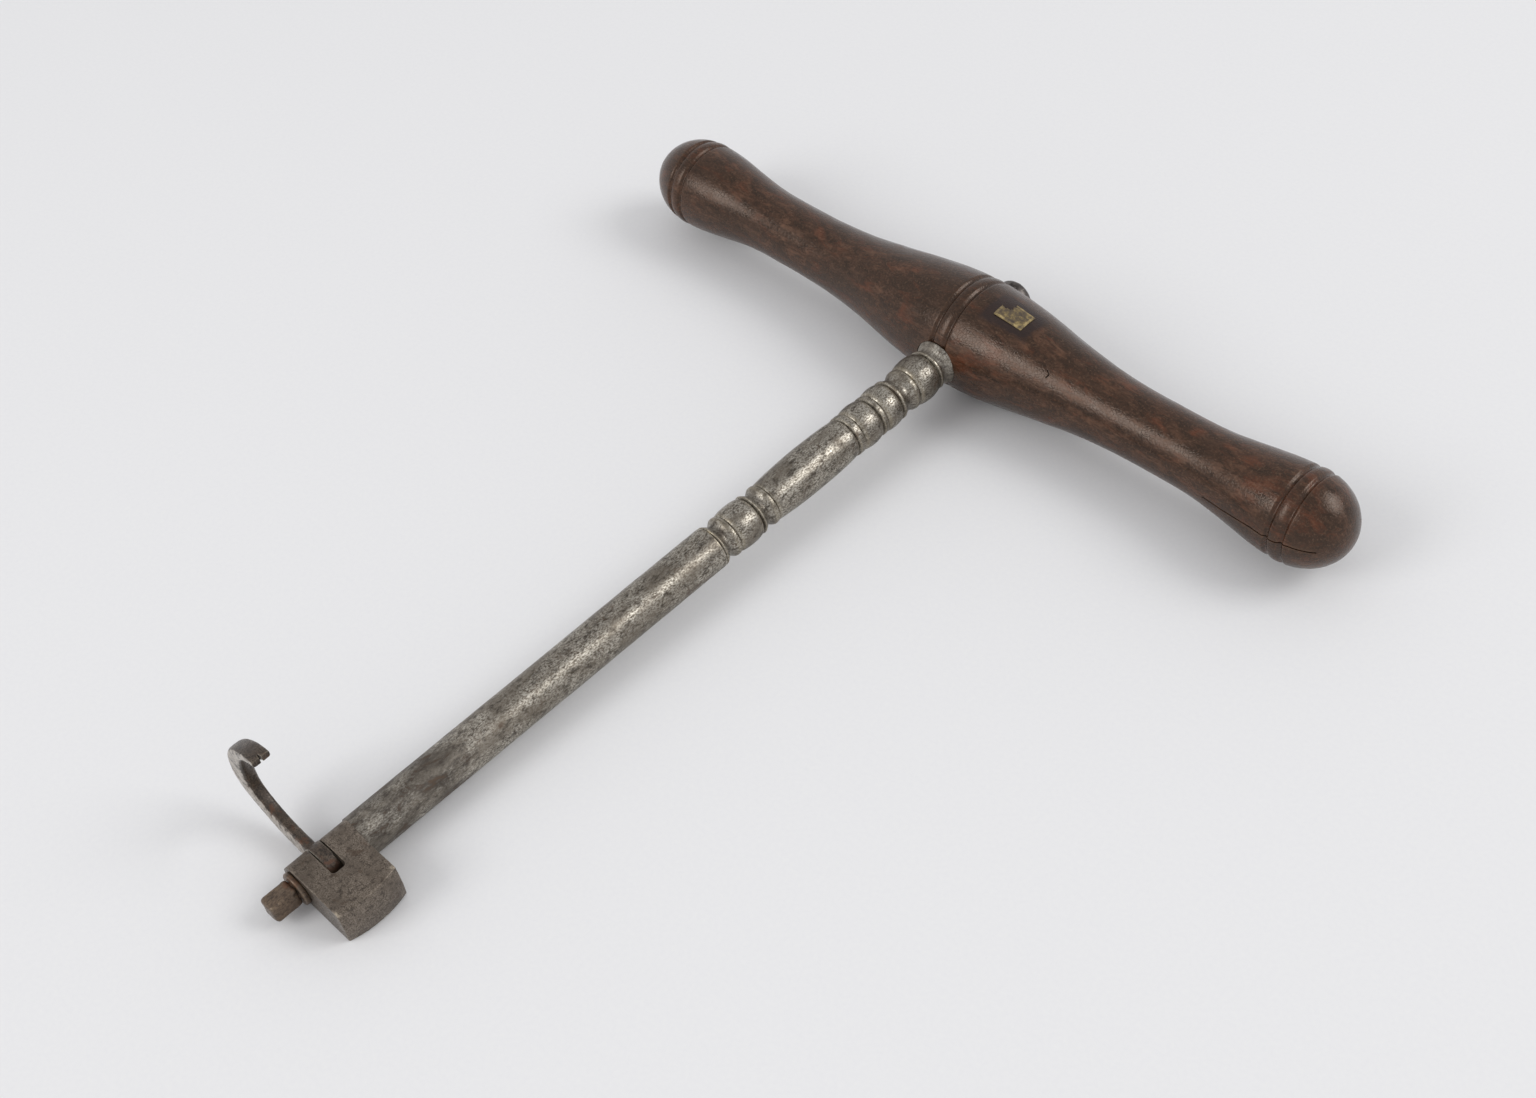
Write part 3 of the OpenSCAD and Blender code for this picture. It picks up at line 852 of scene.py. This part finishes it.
def aged_steel(name, steel, brown, dark, rust, drawn, rust_from, metal, edge, painted_sheen=None):
    """Wrought steel, filed and much held: grey and brown, pitted and rusty, with painted shade in its
    hollows, edges lightened by worn bright metal and a painted highlight, and a painted sheen where asked.
    """
    finish, tree, shader, place = new_finish(name)
    hollows_and_edges = worn(tree)
    # The stem's browning towards the bolster, with painted shade at the flange: darker, rustier and duller
    # there
    browning_and_shade = painted(tree, "browned_and_shaded")
    lines = stretched(tree, place, drawn)
    # Real pits are finer than the grit and the specks, and would not show
    grit = noise(tree, lines, 0.16, 4, 0.65)
    speck = noise(tree, place, 0.22, 3, 0.6)
    blotch = noise(tree, lines, 0.7, 6, 0.7)
    tide = noise(tree, lines, 3.5, 6, 0.62, 0.4)
    spread = noise(tree, lines, 2.4, 7, 0.68, 0.6)
    rusty = ramp(tree, plus(tree, spread, browning_and_shade, 0.06), (rust_from, 0), (rust_from + 0.08, 0.8))
    colour = ramp(tree, grit, (0.3, dark), (0.43, brown), (0.58, steel))
    colour = over(tree, ramp(tree, plus(tree, tide, browning_and_shade, -0.1), (0.4, 0.8), (0.56, 0)), colour, brown)
    colour = over(tree, ramp(tree, blotch, (0.36, 0.75), (0.5, 0)), colour, dark)
    # Dark patches of browning, and of painted shade at the flange
    aged = combine(tree, "MULTIPLY", browning_and_shade, spread)
    colour = over(tree, ramp(tree, aged, (0.36, 0), (0.6, 0.85)), colour, dark)
    colour = over(tree, rusty, colour, rust)
    # Painted highlight and reflection: lighter where a piece carries the painted sheen
    if painted_sheen:
        patchy = plus(tree, blotch, painted(tree, "painted_sheen"), 0.36)
        colour = over(tree, ramp(tree, patchy, (0.72, 0), (0.88, 0.9)), colour, painted_sheen)
    # Painted shade: darker in the hollows
    colour = over(tree, ramp(tree, hollows_and_edges, (0.22, 0.9), (0.46, 0)), colour, "#2a221c")
    # Lighter on the edges: worn bright metal, with a painted highlight where they catch the light
    worn_and_glinting_edges = ramp(tree, plus(tree, hollows_and_edges, browning_and_shade, -0.2), (0.55, 0), (0.75, edge))
    colour = over(tree, worn_and_glinting_edges, colour, "#c2b69c")
    metallic = ramp(tree, combine(tree, "MAXIMUM", browning_and_shade, rusty), (0, metal), (0.8, 0.4))
    gloss = ramp(tree, plus(tree, grit, browning_and_shade, -0.2), (0.36, 0.5), (0.6, 0.3))
    link(tree, shader, Base_Color=colour, Metallic=metallic, Roughness=gloss,
         Normal=relief(tree, speck, 0.3, 0.04))
    return finish


def blackened_iron():
    """Iron, blackened in the fire: near black with a faint sheen and a few bright scratches."""
    finish, tree, shader, place = new_finish("blackened_iron")
    scratch = noise(tree, stretched(tree, place, (1, 0.2, 0.12)), 0.16, 2)
    cloud = noise(tree, place, 0.9, 6)
    colour = ramp(tree, cloud, (0.35, "#3a3533"), (0.65, "#66605c"))
    colour = over(tree, ramp(tree, scratch, (0.63, 0), (0.7, 0.8)), colour, "#8d8680")
    gloss = ramp(tree, cloud, (0.35, 0.5), (0.65, 0.36))
    shader.inputs["Metallic"].default_value = 0.8
    link(tree, shader, Base_Color=colour, Roughness=gloss, Normal=relief(tree, cloud, 0.3, 0.06))
    return finish


def tarnished_gilt():
    """Gilt leaf on a thin patch, tarnished: dull yellow, worn through to brown in spots."""
    finish, tree, shader, place = new_finish("tarnished_gilt")
    cloud = noise(tree, place, 0.8, 6, 0.72)
    kept = plus(tree, cloud, painted(tree, "border"), 0.1)
    colour = ramp(tree, kept, (0.4, "#40352a"), (0.5, "#5d503c"), (0.58, "#81704c"), (0.7, "#b39f70"))
    metal = ramp(tree, cloud, (0.4, 0), (0.6, 0.5))
    shader.inputs["Roughness"].default_value = 0.55
    link(tree, shader, Base_Color=colour, Metallic=metal, Normal=relief(tree, cloud, 0.4, 0.05))
    return finish


def dress():
    """Makes every piece and settles it in the assembly."""
    stem_steel = aged_steel(
        "browned_stem_steel", "#b5b0a5", "#736b60", "#37302a", "#4f3e2f",
        drawn=(1, 0.5, 1), rust_from=0.6, metal=0.9, edge=0.6)
    bolster_steel = aged_steel(
        "browned_bolster_steel", "#81766a", "#5c5248", "#362e27", "#4a3b2e",
        drawn=(1, 1, 1), rust_from=0.58, metal=0.5, edge=0.06, painted_sheen="#a69a88")
    claw_steel = aged_steel(
        "browned_claw_steel", "#5f5347", "#3b3129", "#1d1714", "#5a3d2c",
        drawn=(1, 1, 0.6), rust_from=0.54, metal=0.3, edge=0.12, painted_sheen="#b4aca2")
    screw_steel = aged_steel(
        "rusted_screw_steel", "#72614f", "#5b4c40", "#382d25", "#64442f",
        drawn=(1, 0.5, 1), rust_from=0.55, metal=0.45, edge=0.2)
    settle(wooden_handle(), "handle", polished_rosewood())
    settle(turned_stem(), "stem", stem_steel)
    settle(bolster_block(), "bolster", bolster_steel)
    settle(domed_nut(), "tang_nut", blackened_iron())
    settle(gilt_label(), "label", tarnished_gilt())
    settle(forged_claw(), "claw", claw_steel)
    settle(square_head_screw(), "claw_screw", screw_steel)
    settle(round_collar(), "screw_collar", screw_steel)


# Camera, floor and light

CAMERA_LENS = 45.70
CAMERA_AT = Vector((134.46, -150.82, 187.28)) * MM
CAMERA_TURN = math.radians(51.09)
CAMERA_DROP = math.radians(48.57)
CAMERA_ROLL = math.radians(-8.77)
SENSOR_W = 36
CLIP_NEAR = 10 * MM
FLOOR_SIZE = 8
# White walls, from the horizon to overhead
WALLS = [(0, "#ebebed"), (0.45, "#d8d8da"), (1, "#cbcbcd")]
MIDDLE = Vector((0, -STEM_REACH / 2, 0))
# Two softboxes face each other across the key, as over a copying table, each in its direction from the key
SOFTBOXES = {"softbox_behind": (0.55, 0.53, 0.645), "softbox_in_front": (-0.26, -0.742, 0.616)}
SOFTBOX_SIZE = 0.58
SOFTBOX_AWAY = 1.2
SOFTBOX_POWER = 4.5
# The key lies on its belly and on the bolster's front lower edge, so it leans on the floor by this much
LEAN = math.atan2((BELLY_D - SHAFT_D) / 2, STEM_REACH)


def photo_camera():
    """The photograph's own view, with its lens."""
    camera = bpy.data.objects.new("photo_camera", bpy.data.cameras.new("photo_camera"))
    bpy.context.scene.collection.objects.link(camera)
    camera.data.lens = CAMERA_LENS
    camera.data.sensor_width = SENSOR_W
    camera.data.clip_start = CLIP_NEAR
    camera.data.clip_end = 4 * FLOOR_SIZE
    turned = Matrix.Rotation(CAMERA_TURN, 4, "Z") @ Matrix.Rotation(math.pi / 2 - CAMERA_DROP, 4, "X")
    camera.matrix_world = Matrix.Translation(CAMERA_AT) @ turned @ Matrix.Rotation(CAMERA_ROLL, 4, "Z")
    bpy.context.scene.camera = camera


def pale_floor():
    """A plain pale sheet under the leaning key."""
    bpy.ops.object.select_all(action="DESELECT")
    bpy.ops.mesh.primitive_plane_add(size=FLOOR_SIZE)
    floor = bpy.context.object
    floor.name = "pale_floor"
    floor.rotation_euler.x = -LEAN
    floor.location = Vector((0, 0, -BELLY_D / 2 / math.cos(LEAN)))
    finish, tree, shader, place = new_finish("matt_white_card")
    colour = ramp(tree, noise(tree, place, 0.6, 3), (0.2, "#e4e4e5"), (0.8, "#e7e7e7"))
    shader.inputs["Roughness"].default_value = 0.9
    shader.inputs["Specular IOR Level"].default_value = 0.1
    link(tree, shader, Base_Color=colour)
    floor.data.materials.append(finish)


def softbox(name, towards):
    """A square softbox that looks at the key from a direction."""
    lamp = bpy.data.objects.new(name, bpy.data.lights.new(name, "AREA"))
    bpy.context.scene.collection.objects.link(lamp)
    lamp.data.shape = "SQUARE"
    lamp.data.size = SOFTBOX_SIZE
    lamp.data.energy = SOFTBOX_POWER
    lamp.location = Vector(towards).normalized() * SOFTBOX_AWAY + MIDDLE
    lamp.rotation_euler = Vector(towards).to_track_quat("Z", "Y").to_euler()


def studio():
    """White walls that dim upwards, and the two softboxes."""
    bpy.context.scene.view_settings.view_transform = "Standard"
    world = bpy.data.worlds.new("white_room")
    world.use_nodes = True
    tree = world.node_tree
    around = node(tree, "TexCoord").outputs["Generated"]
    height = node(tree, "SeparateXYZ", {"Vector": around}).outputs["Z"]
    walls = ramp(tree, height, *WALLS)
    tree.links.new(walls, tree.nodes["Background"].inputs["Color"])
    bpy.context.scene.world = world
    for name, towards in SOFTBOXES.items():
        softbox(name, towards)


dress()
photo_camera()
pale_floor()
studio()
